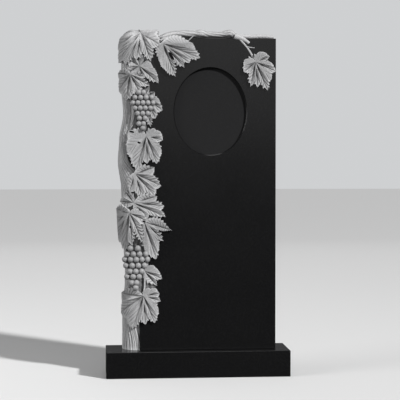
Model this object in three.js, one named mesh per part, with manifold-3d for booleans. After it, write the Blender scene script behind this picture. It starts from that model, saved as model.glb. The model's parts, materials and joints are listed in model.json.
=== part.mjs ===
// A granite headstone: an upright slab with a grapevine carved in the same stone, on a plain plinth.
// Millimetres. +Z is up, the front faces -Y and +X is the viewer's right. The origin is the middle of
// the plinth's underside. Heights on the stele are measured from the top of the plinth.
import * as THREE from 'three';
import { mergeVertices } from 'three/addons/utils/BufferGeometryUtils.js';
import Module from 'manifold-3d';

const wasm = await Module();
wasm.setup();

// Driving dimensions
const PLINTH = { width: 700, depth: 200, height: 100 };
const STELE = { right: 298.5, height: 1187, thickness: 100, cornerStart: -150, cornerHeight: 1160 };
const FRONT = -STELE.thickness / 2;
const BACK = STELE.thickness / 2;

// Oval recess for a portrait plate: centre, half width, half height and depth
const RECESS = { x: 48, z: 909, halfWidth: 138, halfHeight: 165, depth: 12, sides: 48 };

// The trunk is the rounded left edge of the stone. Pairs of height and place across.
const TRUNK_LEFT = [[0, -287], [90, -286], [300, -275], [450, -284], [610, -289], [720, -302], [800, -297],
  [905, -281], [1000, -288], [1110, -289], [1187, -282]];
const TRUNK_RIGHT = [[0, -222], [110, -222], [350, -236], [620, -238], [672, -244], [743, -268], [815, -264],
  [864, -251], [902, -243], [960, -238], [1187, -238]];
const TRUNK = { setBack: 9, roundDepth: 78, hidden: 26, square: 0.8, top: 1176, domeHeight: 40,
  domeTaper: 0.75, backGap: 1 };
const BARK = { strands: 5, depth: 2.6, turnsPerHeight: 0.9, around: 16, along: 20 };

// The top edge is rounded over only where leaves bend across it.
const TOP_ROUND = { start: 1163, rise: 38, run: 48 };

// Leaf carving: depth let into the stone, the fold down to each main vein and how far out it is full, the
// arch between centre and tip, the bulge of a lobe's edge and where it is fullest, and the teeth cut in it.
// A notch between two lobes is a little deeper where they stand further apart.
const LEAF = { letIn: 25, fold: 6, foldReach: 32, arch: 4, bulge: 0.1, endBulge: 0.42, belly: 0.4, tooth: 4,
  toothRise: 0.7, teeth: 2, longTeeth: 3, longEdge: 70, shortEdge: 36, veinStart: 0.55, veinLag: 1.9,
  notch: 0.95, notchSpread: 450, stalkNotch: 0.1, stalkGap: 100 };

// Each leaf: centre, height of the carving at the centre and at the tips, and its lobes from the left round
// to the right as [angle from straight down, length, depth of the next notch when not the usual one].
const LEAVES = {
  corner: { at: [-216, 1203], centre: 19, tips: 15, lobes: [[-150, 78], [-104, 118], [-70, 128], [-43, 150],
    [-26, 134, 0.85], [-11, 104, 0.68], [19, 113], [57, 84], [112, 72], [165, 64]] },
  underBranch: { at: [-133, 1164], centre: 14, tips: 9, lobes: [[-14, 68, 1.45], [21, 134, 0.62],
    [42, 122, 0.78], [54, 123, 0.97], [69, 150, 1], [91, 113]] },
  farLeaf: { at: [220, 1097], centre: 10, tips: 8, lobes: [[-98, 46, 1.05], [-50, 60, 0.8], [-12, 97, 0.76],
    [4, 96, 0.82], [23, 117, 1.04], [44, 88, 0.86], [65, 84, 1.18], [87, 60, 0.66], [111, 56, 1.02],
    [135, 51, 1.1], [160, 41]] },
  shoulder: { at: [-222, 1079], centre: 13, tips: 8, lobes: [[-62, 62], [12, 52], [48, 97, 1.18],
    [72, 66, 1.09], [95, 47], [135, 55], [-170, 50], [-120, 48]] },
  elbow: { at: [-256, 1047], centre: 17, tips: 11, lobes: [[-96, 66], [-48, 92], [-12, 100], [27, 84, 0.7],
    [59, 83], [82, 52]] },
  upperBunchBack: { at: [-202, 962], centre: 7, tips: 6, lobes: [[-8, 80], [11, 116], [26, 90],
    [53, 83, 1.16], [80, 55], [116, 42]] },
  waist: { at: [-196, 815], centre: 13, tips: 10, lobes: [[-106, 72, 1], [-56, 92, 1.1], [-17, 135, 0.88],
    [1, 104, 0.78], [20, 112, 1.17], [46, 80, 0.76], [76, 63, 1.07], [108, 55, 1], [135, 42]] },
  fork: { at: [-238, 672], centre: 12, tips: 9, lobes: [[-20, 74], [15, 90], [41, 112], [65, 108],
    [109, 77]] },
  knuckle: { at: [-244, 562], centre: 13, tips: 9, lobes: [[40, 80], [66, 133], [84, 116], [106, 92],
    [-140, 60], [-95, 66]] },
  broad: { at: [-204, 490], centre: 14, tips: 10, lobes: [[-30, 60], [0, 108, 1.17], [17, 148, 1.16],
    [31, 107, 0.8], [45, 104, 0.5], [72, 110]] },
  overBroad: { at: [-259, 524], centre: 22, tips: 16, lobes: [[-100, 78], [-62, 100], [-34, 132],
    [-9, 152, 0.88], [4, 124, 0.5], [23, 131, 0.8], [64, 72, 1.22], [95, 47]] },
  lowerBunchBack: { at: [-206, 304], centre: 8, tips: 7, lobes: [[41, 76, 0.72], [66, 75, 1.12],
    [90, 56, 1.08], [120, 42]] },
  foot: { at: [-208, 209], centre: 13, tips: 10, lobes: [[-93, 112], [-56, 128], [-18, 134, 0.83],
    [3.5, 109, 0.75], [22, 112, 1.2], [48, 76, 0.72], [73, 68], [98, 61, 1], [120, 56, 1.05], [150, 36]] },
};

// Bunches of grapes, row by row from the top: height, place of the first grape across, grapes in the row
// and their pitch. A bunch lies partly round the left edge, by the share that drape gives.
const GRAPE = { tall: 1.06, around: 6, rings: 4, edge: 7, bulge: 13, letIn: 1.5, drape: 0.35 };
const BUNCHES = {
  upper: { middle: -209, halfWidth: 46, radius: 9.9, rows: [[979, -225, 2, 18], [960, -239, 4, 20.6],
    [940, -247, 5, 18.7], [920, -239, 4, 19], [900, -230, 3, 19.2], [882, -223, 2, 21], [861, -225, 2, 17],
    [845, -210, 1, 0]] },
  lower: { middle: -236, halfWidth: 50, radius: 11.3, rows: [[390, -258, 2, 28], [368, -270, 4, 23.3],
    [348, -278, 5, 21], [325, -274, 4, 23], [303, -259, 3, 21.7], [283, -270, 3, 22.5], [260, -253, 2, 18],
    [242, -238, 1, 0]] },
};

// Rounded limbs: the head of the trunk under the corner leaf, the branch on the top edge, its flat end along
// the top, a cut side shoot, the stalk of the far leaf, a knob on the trunk and the swelling that each bunch
// lies on. Points are [across, height, half thickness], and depth is the half width from front to back where
// the limb is thickest.
const TRUNK_HEAD = { depth: 42, middle: 6, sides: 10, steps: 4, points: [[-266, 1160, 13], [-240, 1169, 19],
  [-190, 1173, 19], [-140, 1177, 15]] };
const BRANCH = { depth: 31, middle: -22, sides: 10, steps: 20, points: [[-176, 1148, 15], [-156, 1166, 17],
  [-132, 1183, 17.5], [-104, 1195, 17.5], [-66, 1202, 16.5], [-30, 1203, 15.5], [-6, 1203, 15.5],
  [12, 1204, 18.3], [30, 1202, 15], [52, 1201, 13], [90, 1201, 13], [110, 1204, 15.5], [127, 1205, 17],
  [142, 1200, 14], [154, 1194, 10], [168, 1190, 7]] };
const RUNNER = { depth: 12, middle: -34, sides: 8, steps: 9, points: [[140, 1198, 10], [200, 1193, 9],
  [245, 1195, 10], [292, 1192, 8]] };
const SHOOT = { depth: 9, middle: -49, sides: 7, steps: 4, points: [[140, 1194, 11], [172, 1184, 8],
  [196, 1169, 5.5]] };
const STALK = { depth: 4, middle: -51, sides: 6, steps: 6, points: [[158, 1186, 4], [192, 1146, 3.2],
  [219, 1100, 4.5]] };
const KNOB = { depth: 26, middle: -10, sides: 8, steps: 4, points: [[-281, 520, 2], [-281, 526, 10],
  [-282, 536, 13], [-283, 546, 10], [-283, 552, 2]] };
const UPPER_BED = { depth: 24, middle: -36, sides: 10, steps: 6, points: [[-214, 990, 10], [-213, 962, 34],
  [-209, 938, 38], [-209, 905, 30], [-211, 872, 19], [-210, 842, 8]] };
const LOWER_BED = { depth: 34, middle: -27, sides: 10, steps: 6, points: [[-244, 400, 12], [-240, 372, 40],
  [-237, 348, 45], [-240, 322, 39], [-241, 292, 32], [-247, 262, 20], [-238, 238, 8]] };

const BLACK_GRANITE = { color: 0x1c1c1d, roughness: 0.12, metalness: 0 };

// Corners of a mesh nearer than this are one corner.
const SAME_CORNER = 0.001;

// Smooth value between neighbouring pairs of a list of [height, value]
function blend(pairs, height) {
  const last = pairs.length - 1;
  const below = pairs.findLastIndex(([at]) => at <= height);
  if (below < 0) return pairs[0][1];
  if (below >= last) return pairs[last][1];
  const share = THREE.MathUtils.smoothstep(height, pairs[below][0], pairs[below + 1][0]);
  return THREE.MathUtils.lerp(pairs[below][1], pairs[below + 1][1], share);
}

// Closed solid from a geometry, with its faces turned outwards
function solid(geometry) {
  geometry.deleteAttribute('normal');
  geometry.deleteAttribute('uv');
  const merged = mergeVertices(geometry, SAME_CORNER);
  const points = merged.attributes.position;
  const triangles = [];
  for (let n = 0; n < merged.index.count; n += 3) {
    const [a, b, c] = merged.index.array.slice(n, n + 3);
    if (a !== b && b !== c && c !== a) triangles.push(a, b, c);
  }
  const corner = (n) => new THREE.Vector3().fromBufferAttribute(points, triangles[n]);
  let volume = 0;
  for (let n = 0; n < triangles.length; n += 3) {
    volume += corner(n).dot(corner(n + 1).cross(corner(n + 2)));
  }
  if (volume < 0) triangles.reverse();
  const triVerts = Uint32Array.from(triangles);
  const mesh = new wasm.Mesh({ numProp: 3, vertProperties: points.array, triVerts });
  return new wasm.Manifold(mesh);
}

// Corners of a mesh's largest closed surface, so that no sliver of a gap stays sealed inside the stone
function outerSurface({ triVerts, numVert }) {
  const joined = Array.from({ length: numVert }, (_, corner) => corner);
  const surfaceOf = (corner) => {
    let first = corner;
    while (joined[first] !== first) first = joined[first];
    joined[corner] = first;
    return first;
  };
  for (let n = 0; n < triVerts.length; n += 3) {
    joined[surfaceOf(triVerts[n + 1])] = surfaceOf(triVerts[n]);
    joined[surfaceOf(triVerts[n + 2])] = surfaceOf(triVerts[n]);
  }
  const corners = Array.from(triVerts);
  const sizes = new Map();
  for (const corner of corners) {
    const surface = surfaceOf(corner);
    sizes.set(surface, (sizes.get(surface) ?? 0) + 1);
  }
  const [largest] = [...sizes].reduce((best, entry) => (entry[1] > best[1] ? entry : best));
  return corners.filter((corner) => surfaceOf(corner) === largest);
}

// Geometry of a finished solid, with flat facets
function geometryOf(finished) {
  const mesh = finished.getMesh();
  const geometry = new THREE.BufferGeometry();
  geometry.setAttribute('position', new THREE.BufferAttribute(mesh.vertProperties, 3));
  geometry.setIndex(outerSurface(mesh));
  geometry.computeVertexNormals();
  return geometry;
}

// Moves every vertex of a geometry to the place that a function gives for it.
function reshape(geometry, place) {
  const points = geometry.attributes.position;
  const vertex = new THREE.Vector3();
  for (let n = 0; n < points.count; n += 1) {
    const moved = place(vertex.fromBufferAttribute(points, n));
    points.setXYZ(n, moved.x, moved.y, moved.z);
  }
  return geometry;
}

// Lays a point on the stone: across and up on the front face, round the left edge where the trunk is and
// over the top edge, at a height above the surface.
function drape(across, up, height) {
  const start = blend(TRUNK_RIGHT, up);
  const reach = start - blend(TRUNK_LEFT, up);
  const left = Math.max(0, start - across);
  const over = Math.max(0, up - TOP_ROUND.start);
  const gone = Math.hypot(left, over);
  if (gone === 0) return new THREE.Vector3(across, FRONT - height, up);
  const leftShare = left / gone;
  const overShare = over / gone;
  const leftRun = (reach + TRUNK.roundDepth) / 2;
  const run = leftRun * leftShare ** 2 + TOP_ROUND.run * overShare ** 2;
  const turn = Math.min(gone / run, Math.PI / 2);
  const straight = gone - turn * run;
  const depth = TRUNK.roundDepth * leftShare ** 2 + TOP_ROUND.run * overShare ** 2;
  const x = across + left - (reach + height) * Math.sin(turn) * leftShare;
  const y = FRONT + depth * (1 - Math.cos(turn)) - height * Math.cos(turn) + straight;
  const z = Math.min(up, TOP_ROUND.start) + (TOP_ROUND.rise + height) * Math.sin(turn) * overShare;
  return new THREE.Vector3(x, y, z);
}

function slab() {
  const outline = new THREE.Shape();
  outline.moveTo(blend(TRUNK_RIGHT, 0), 0);
  outline.lineTo(STELE.right, 0);
  outline.lineTo(STELE.right, STELE.height);
  outline.lineTo(STELE.cornerStart, STELE.height);
  const heights = TRUNK_RIGHT.map(([height]) => Math.min(height, STELE.cornerHeight));
  for (const height of heights.reverse().slice(0, -1)) {
    outline.lineTo(blend(TRUNK_RIGHT, height), height);
  }
  const block = new THREE.ExtrudeGeometry(outline, { depth: STELE.thickness, bevelEnabled: false });
  block.rotateX(Math.PI / 2);
  block.translate(0, BACK, 0);
  return solid(block);
}

function recess() {
  const plug = new THREE.CylinderGeometry(1, 1, 2 * RECESS.depth, RECESS.sides);
  plug.scale(RECESS.halfWidth, 1, RECESS.halfHeight);
  plug.translate(RECESS.x, FRONT, RECESS.z);
  return solid(plug);
}

// Trunk with twisting strands of bark: a column a little squarer than an oval, cut off flat at the back,
// with a domed top
function trunk() {
  const squared = (share) => Math.sign(share) * Math.abs(share) ** TRUNK.square;
  const column = new THREE.CylinderGeometry(1, 1, 1, BARK.around, BARK.along);
  const middle = FRONT + TRUNK.roundDepth;
  return solid(reshape(column, (vertex) => {
    const height = (vertex.y + 0.5) * TRUNK.top;
    const rim = Math.hypot(vertex.x, vertex.z);
    const angle = Math.atan2(-vertex.x, -vertex.z);
    const right = blend(TRUNK_RIGHT, height);
    const left = right - blend(TRUNK_LEFT, height);
    const halfAcross = angle > 0 ? left : TRUNK.hidden;
    const front = TRUNK.roundDepth - TRUNK.setBack;
    const halfDeep = Math.cos(angle) > 0 ? front : STELE.thickness;
    const twist = BARK.turnsPerHeight * 2 * Math.PI * height / STELE.height;
    const bark = BARK.depth * Math.cos(BARK.strands * angle + twist);
    const nearTop = Math.max(0, height - TRUNK.top + TRUNK.domeHeight) / TRUNK.domeHeight;
    const size = rim * Math.sqrt(1 - TRUNK.domeTaper * nearTop ** 2);
    const x = right - (halfAcross + bark) * squared(Math.sin(angle)) * size;
    const y = middle - (halfDeep + bark) * squared(Math.cos(angle)) * size;
    return new THREE.Vector3(x, Math.min(y, BACK - TRUNK.backGap), height);
  }));
}

// Round limb along a line of [across, height, half thickness] points at one depth
function limb({ points, depth, middle, sides, steps }) {
  const line = new THREE.CatmullRomCurve3(points.map(([x, z, half]) => new THREE.Vector3(x, half, z)));
  const thickest = Math.max(...points.map(([, , half]) => half));
  const rod = new THREE.CylinderGeometry(1, 1, 1, sides, steps);
  return solid(reshape(rod, (vertex) => {
    const along = vertex.y + 0.5;
    const centre = line.getPoint(along);
    const half = centre.y;
    const ahead = line.getTangent(along).setY(0).normalize();
    const x = centre.x - ahead.z * vertex.x * half;
    const z = centre.z + ahead.x * vertex.x * half;
    return new THREE.Vector3(x, middle + vertex.z * depth * half / thickest, z);
  }));
}

// Depth of the notch between two lobes, as a share of the shorter one
function notchShare(spread) {
  const degrees = THREE.MathUtils.radToDeg(spread);
  if (degrees > LEAF.stalkGap) return LEAF.stalkNotch;
  return LEAF.notch - degrees / LEAF.notchSpread;
}

// Point on a leaf's plan at an angle from straight down, towards the right
function fromCentre(angle, distance) {
  return new THREE.Vector2(Math.sin(angle), -Math.cos(angle)).multiplyScalar(distance);
}

// Notch between a lobe and the next one, and whether it is the gap of the stalk
function notchBeside(lobe, next, turn, notch) {
  const spread = THREE.MathUtils.euclideanModulo(turn * (next.angle - lobe.angle), 2 * Math.PI);
  const share = notch ?? notchShare(spread);
  const place = fromCentre(lobe.angle + turn * spread / 2, share * Math.min(lobe.length, next.length));
  return { turn, place, atStalk: share === LEAF.stalkNotch };
}

// Whether a lobe is only the shoulder of a longer one beside it, with no true notch between them
function isShoulder(lobes, before, at, after) {
  const runsInto = (notch, other) => notch >= 1 && lobes[other][1] > lobes[at][1];
  return runsInto(lobes[at][2], after) || runsInto(lobes[before][2], before);
}

// Count of teeth on an edge of a given length
function teethOn(edge) {
  if (edge > LEAF.longEdge) return LEAF.longTeeth;
  return edge < LEAF.shortEdge ? 1 : LEAF.teeth;
}

// One side of a lobe: the points along its main vein, and those beside them from the centre to the notch
// and along the toothed edge to the tip
function halfLobe(tip, { turn, place, atStalk }, teeth) {
  const outward = new THREE.Vector2(tip.y - place.y, place.x - tip.x).normalize().multiplyScalar(-turn);
  const swell = atStalk ? LEAF.endBulge : LEAF.bulge;
  const middle = place.clone().lerp(tip, LEAF.belly).addScaledVector(outward, swell * place.distanceTo(tip));
  const edge = new THREE.QuadraticBezierCurve(place, middle, tip);
  const rows = [{ vein: new THREE.Vector2(), side: new THREE.Vector2() }];
  for (let station = 0; station <= 2 * teeth; station += 1) {
    const atTooth = station % 2;
    const along = (Math.floor(station / 2) + atTooth * LEAF.toothRise) / teeth;
    const down = LEAF.veinStart + (1 - LEAF.veinStart) * along;
    const side = edge.getPoint(along).addScaledVector(outward, atTooth * LEAF.tooth);
    rows.push({ vein: tip.clone().multiplyScalar(down ** LEAF.veinLag), side });
  }
  return rows;
}

// Leaf: folded lobes round a centre, one closed solid with its toothed edge cut straight down to the stone
function leaf({ at, centre, tips, lobes }) {
  const around = lobes.map(([degrees, length]) => ({ angle: THREE.MathUtils.degToRad(degrees), length }));
  const size = Math.max(...around.map(({ length }) => length));
  const corners = [];
  const lay = (point, height) => drape(at[0] + point.x, at[1] + point.y, height);
  const upper = (point, fold = 0) => {
    const out = point.length();
    const rise = THREE.MathUtils.lerp(centre, tips, out / size) + LEAF.arch * Math.sin(Math.PI * out / size);
    return lay(point, rise - fold * Math.min(1, out / LEAF.foldReach));
  };
  const lower = (point) => lay(point, -LEAF.letIn);
  const face = (turn, ...points) => corners.push(...(turn > 0 ? points : points.reverse()));
  around.forEach((lobe, n) => {
    const before = (n + around.length - 1) % around.length;
    const after = (n + 1) % around.length;
    const tip = fromCentre(lobe.angle, lobe.length);
    const sides = [notchBeside(lobe, around[after], 1, lobes[n][2]),
      notchBeside(lobe, around[before], -1, lobes[before][2])];
    const longest = Math.max(...sides.map(({ place }) => place.distanceTo(tip)));
    const teeth = teethOn(longest);
    const fold = isShoulder(lobes, before, n, after) ? 0 : LEAF.fold;
    for (const side of sides) {
      const { turn } = side;
      const rows = halfLobe(tip, side, teeth);
      for (let row = 1; row < rows.length; row += 1) {
        const near = rows[row - 1];
        const far = rows[row];
        const nearVein = upper(near.vein, fold);
        const farVein = upper(far.vein, row < rows.length - 1 ? fold : 0);
        face(turn, nearVein, farVein, upper(far.side));
        face(turn, nearVein, upper(far.side), upper(near.side));
        face(-turn, lower(near.vein), lower(far.vein), lower(far.side));
        face(-turn, lower(near.vein), lower(far.side), lower(near.side));
        if (row > 1) {
          face(turn, lower(far.side), lower(near.side), upper(near.side));
          face(turn, lower(far.side), upper(near.side), upper(far.side));
        }
      }
    }
  });
  return solid(new THREE.BufferGeometry().setFromPoints(corners));
}

// Grapes of one bunch, standing out most along its middle, each with its back let into the stone
function bunch({ rows, middle, halfWidth, radius }) {
  return rows.flatMap(([height, first, count, pitch]) => Array.from({ length: count }, (_, n) => {
    const across = first + n * pitch;
    const offMiddle = Math.min(1, Math.abs(across - middle) / halfWidth);
    const standing = GRAPE.edge + GRAPE.bulge * (1 - offMiddle ** 2);
    const place = new THREE.Vector3(across, FRONT - standing, height);
    place.y = THREE.MathUtils.lerp(place.y, drape(across, height, standing).y, GRAPE.drape);
    const ball = new THREE.SphereGeometry(1, GRAPE.around, GRAPE.rings);
    return solid(reshape(ball, (vertex) => {
      const deep = vertex.y > 0 ? GRAPE.letIn * radius : radius;
      const reach = new THREE.Vector3(radius, deep, radius * GRAPE.tall);
      return vertex.clone().multiply(reach).add(place);
    }));
  }));
}

function stele() {
  const limbs = [TRUNK_HEAD, BRANCH, RUNNER, SHOOT, STALK, KNOB, UPPER_BED, LOWER_BED].map(limb);
  const leaves = Object.values(LEAVES).map(leaf);
  const grapes = Object.values(BUNCHES).flatMap(bunch);
  let stone = slab().add(trunk());
  for (const carved of [...limbs, ...leaves, ...grapes]) {
    stone = stone.add(carved);
  }
  const carving = geometryOf(stone.subtract(recess()));
  const mesh = new THREE.Mesh(carving, new THREE.MeshStandardMaterial(BLACK_GRANITE));
  mesh.name = 'stele';
  mesh.position.z = PLINTH.height;
  return mesh;
}

function plinth() {
  const block = new THREE.BoxGeometry(PLINTH.width, PLINTH.depth, PLINTH.height);
  const mesh = new THREE.Mesh(block, new THREE.MeshStandardMaterial(BLACK_GRANITE));
  mesh.name = 'plinth';
  mesh.position.z = PLINTH.height / 2;
  return mesh;
}

const headstone = new THREE.Group();
headstone.name = 'headstone';
headstone.add(plinth(), stele());

export default headstone;
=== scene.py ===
# A granite headstone: a polished black stele with a grapevine carved in the same stone, on a plain plinth.
# The frame is in metres. The carver's sizes are in millimetres, with heights from the top of the plinth.
import json
import math

import bmesh
import bpy
import numpy as np
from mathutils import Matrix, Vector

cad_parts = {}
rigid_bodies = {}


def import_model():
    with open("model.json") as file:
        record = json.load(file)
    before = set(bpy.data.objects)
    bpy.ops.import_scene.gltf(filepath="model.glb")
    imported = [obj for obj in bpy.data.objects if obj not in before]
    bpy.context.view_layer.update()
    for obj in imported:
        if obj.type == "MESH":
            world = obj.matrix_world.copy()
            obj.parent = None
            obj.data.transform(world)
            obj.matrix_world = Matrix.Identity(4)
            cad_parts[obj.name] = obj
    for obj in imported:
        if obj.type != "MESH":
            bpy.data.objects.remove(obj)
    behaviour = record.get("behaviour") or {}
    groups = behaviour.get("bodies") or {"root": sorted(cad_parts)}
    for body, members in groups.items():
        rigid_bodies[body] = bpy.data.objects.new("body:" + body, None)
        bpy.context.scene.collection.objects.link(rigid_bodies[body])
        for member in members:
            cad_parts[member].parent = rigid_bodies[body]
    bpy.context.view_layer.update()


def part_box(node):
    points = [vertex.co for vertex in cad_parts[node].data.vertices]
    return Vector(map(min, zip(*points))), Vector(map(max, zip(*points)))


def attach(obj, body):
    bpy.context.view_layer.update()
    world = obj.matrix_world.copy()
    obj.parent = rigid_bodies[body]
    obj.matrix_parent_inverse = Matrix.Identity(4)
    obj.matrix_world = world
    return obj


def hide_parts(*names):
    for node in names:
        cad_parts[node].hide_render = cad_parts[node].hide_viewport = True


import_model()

# Plinth
# One block of black granite, sawn square and polished on every face that shows, with its edges eased by a
# hand stone. It lies loose on the ground and carries the stele.
MM = 0.001
PLINTH_EASING = 1.6 * MM
plinth_low, plinth_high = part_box("plinth")
PLINTH_TOP = plinth_high.z


def granite_grain():
    """Node group: the fine crystals of the stone, as a fleck mask and a slow drift in tone."""
    group = bpy.data.node_groups.new("granite_grain", "ShaderNodeTree")
    for name, default in (("Crystal Scale", 900.0), ("Drift Scale", 4.0), ("Fleck Share", 0.3)):
        socket = group.interface.new_socket(name, in_out="INPUT", socket_type="NodeSocketFloat")
        socket.default_value = default
    for name in ("Flecks", "Drift"):
        group.interface.new_socket(name, in_out="OUTPUT", socket_type="NodeSocketFloat")
    nodes = group.nodes
    wire = group.links.new
    values = nodes.new("NodeGroupInput")
    result = nodes.new("NodeGroupOutput")
    place = nodes.new("ShaderNodeTexCoord")
    crystals = nodes.new("ShaderNodeTexVoronoi")
    drift = nodes.new("ShaderNodeTexNoise")
    drift.inputs["Detail"].default_value = 3.0
    bright = nodes.new("ShaderNodeSeparateColor")
    over = nodes.new("ShaderNodeMath")
    over.operation = "SUBTRACT"
    clear = nodes.new("ShaderNodeMath")
    clear.operation = "MAXIMUM"
    clear.inputs[1].default_value = 0.0
    wire(place.outputs["Object"], crystals.inputs["Vector"])
    wire(place.outputs["Object"], drift.inputs["Vector"])
    wire(values.outputs["Crystal Scale"], crystals.inputs["Scale"])
    wire(values.outputs["Drift Scale"], drift.inputs["Scale"])
    wire(crystals.outputs["Color"], bright.inputs["Color"])
    wire(bright.outputs["Red"], over.inputs[0])
    wire(values.outputs["Fleck Share"], over.inputs[1])
    wire(over.outputs["Value"], clear.inputs[0])
    wire(clear.outputs["Value"], result.inputs["Flecks"])
    wire(drift.outputs["Fac"], result.inputs["Drift"])
    return group


GRAIN = granite_grain()


def black_granite(name, dark, fleck, specular, smoothest, roughest):
    """Black granite, polished or left dull: nearly black crystals with a few grey flecks."""
    material = bpy.data.materials.new(name)
    material.use_nodes = True
    nodes = material.node_tree.nodes
    wire = material.node_tree.links.new
    shader = nodes["Principled BSDF"]
    shader.inputs["Specular IOR Level"].default_value = specular
    shader.inputs["Roughness"].default_value = roughest
    grain = nodes.new("ShaderNodeGroup")
    grain.node_tree = GRAIN
    grain.inputs["Crystal Scale"].default_value = 700.0
    grain.inputs["Drift Scale"].default_value = 5.0
    grain.inputs["Fleck Share"].default_value = 0.8
    colour = nodes.new("ShaderNodeMix")
    colour.data_type = "RGBA"
    colour.inputs["A"].default_value = dark
    colour.inputs["B"].default_value = fleck
    wire(grain.outputs["Flecks"], colour.inputs["Factor"])
    wire(colour.outputs["Result"], shader.inputs["Base Color"])
    if smoothest < roughest:
        gloss = nodes.new("ShaderNodeMapRange")
        gloss.inputs["From Min"].default_value = 0.3
        gloss.inputs["From Max"].default_value = 0.7
        gloss.inputs["To Min"].default_value = smoothest
        gloss.inputs["To Max"].default_value = roughest
        wire(grain.outputs["Drift"], gloss.inputs["Value"])
        wire(gloss.outputs["Result"], shader.inputs["Roughness"])
    return material


POLISHED = black_granite(
    "polished_black_granite", dark=(0.003, 0.003, 0.0032, 1.0), fleck=(0.03, 0.03, 0.0315, 1.0),
    specular=0.2, smoothest=0.19, roughest=0.25)


def only(piece):
    """Makes one piece the only selected one."""
    bpy.ops.object.select_all(action="DESELECT")
    piece.select_set(True)
    bpy.context.view_layer.objects.active = piece


def apply_modifier(piece, kind, **settings):
    """Adds a modifier to a piece and applies it."""
    only(piece)
    modifier = piece.modifiers.new(kind.lower(), kind)
    for name, value in settings.items():
        setattr(modifier, name, value)
    bpy.ops.object.modifier_apply(modifier=modifier.name)


bpy.ops.object.select_all(action="DESELECT")
bpy.ops.mesh.primitive_cube_add(
    size=1.0, location=(plinth_low + plinth_high) / 2, scale=plinth_high - plinth_low)
plinth = bpy.context.object
plinth.name = "plinth_block"
bpy.ops.object.transform_apply(location=True, rotation=True, scale=True)
apply_modifier(plinth, "BEVEL", width=PLINTH_EASING, segments=1)
plinth.data.materials.append(POLISHED)
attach(plinth, "root")
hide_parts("plinth")

# Slab of the stele
# The body of the stele is a sawn slab of the same granite, polished in front and behind, with its left edge
# cut back to the line of the trunk. The oval recess for a portrait plate is milled into the polished face,
# with a narrow polished rim and a floor left dull to take the plate's cement.
SLAB_RIGHT = 298.5
SLAB_HEIGHT = 1187.0
SLAB_FRONT = -50.0
SLAB_BACK = 50.0
SLAB_EASING = 1.2
SLAB_EASED_FROM = math.radians(60)
CORNER_START = -150.0
CORNER_HEIGHT = 1160.0
RECESS_MIDDLE = (48.0, 909.0)
RECESS_HALF = (138.0, 165.0)
RECESS_DEPTH = 12.0
RECESS_RIM = 3.0
RECESS_SIDES = 160
TRUNK_RIGHT = ((0, -222), (110, -222), (350, -236), (620, -238), (672, -244), (743, -268), (815, -264),
               (864, -251), (902, -243), (960, -238), (1187, -238))
SLAB_STEPS = 60


def between(pairs, height):
    """Smooth value at a height between neighbouring pairs of (height, value)."""
    heights, values = np.array(pairs, float).T
    below = np.clip(np.searchsorted(heights, height, side="right") - 1, 0, len(pairs) - 2)
    share = np.clip((height - heights[below]) / (heights[below + 1] - heights[below]), 0.0, 1.0)
    share = share * share * (3.0 - 2.0 * share)
    return values[below] + (values[below + 1] - values[below]) * share


def in_frame(points):
    """Places in the frame, in metres, of points in millimetres above the plinth."""
    return np.asarray(points, float) * MM + np.array((0.0, 0.0, PLINTH_TOP))


def cut_away(stone, cutter, half_sizes, finish):
    """Cuts a form of given half sizes out of a stone, and gives the cut faces a finish."""
    cutter.scale = [size * MM for size in half_sizes]
    cutter.data.materials.append(finish)
    apply_modifier(stone, "BOOLEAN", object=cutter, operation="DIFFERENCE", solver="MANIFOLD",
                   material_mode="TRANSFER")
    bpy.data.objects.remove(cutter)


HONED = black_granite(
    "honed_black_granite", dark=(0.0145, 0.0145, 0.0149, 1.0), fleck=(0.05, 0.05, 0.052, 1.0),
    specular=0.01, smoothest=0.6, roughest=0.6)

bpy.ops.object.select_all(action="DESELECT")
bpy.ops.mesh.primitive_grid_add(x_subdivisions=2, y_subdivisions=SLAB_STEPS, size=2.0)
stele = bpy.context.object
stele.name = "stele_stone"
stele.data.materials.append(POLISHED)
for vertex in stele.data.vertices:
    across, up = vertex.co.x, (vertex.co.y + 1.0) / 2.0
    top = SLAB_HEIGHT if across > -0.5 else CORNER_HEIGHT
    height = up * top
    edge = float(between(TRUNK_RIGHT, height))
    x = edge if across < -0.5 else SLAB_RIGHT if across > 0.5 else CORNER_START
    vertex.co = in_frame((x, SLAB_FRONT, height))
bpy.ops.object.mode_set(mode="EDIT")
bpy.ops.mesh.select_all(action="SELECT")
bpy.ops.mesh.extrude_region_move(TRANSFORM_OT_translate={"value": (0, (SLAB_BACK - SLAB_FRONT) * MM, 0)})
bpy.ops.mesh.select_all(action="SELECT")
bpy.ops.mesh.normals_make_consistent(inside=False)
bpy.ops.object.mode_set(mode="OBJECT")

recess_place = in_frame((RECESS_MIDDLE[0], SLAB_FRONT, RECESS_MIDDLE[1]))
bpy.ops.object.select_all(action="DESELECT")
bpy.ops.mesh.primitive_cylinder_add(
    vertices=RECESS_SIDES, radius=1.0, depth=2.0, rotation=(math.pi / 2, 0, 0), location=recess_place)
cut_away(stele, bpy.context.object, (*RECESS_HALF, RECESS_DEPTH), HONED)
bpy.ops.object.select_all(action="DESELECT")
rim_share = 2.0 * RECESS_RIM / sum(RECESS_HALF)
bpy.ops.mesh.primitive_cone_add(
    vertices=RECESS_SIDES, radius1=1.0, radius2=1.0 + 2.0 * rim_share, depth=2.0,
    rotation=(math.pi / 2, 0, 0), location=recess_place)
cut_away(stele, bpy.context.object, (*RECESS_HALF, RECESS_RIM), POLISHED)
apply_modifier(stele, "BEVEL", width=SLAB_EASING * MM, segments=1, limit_method="ANGLE",
               angle_limit=SLAB_EASED_FROM)

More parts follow.
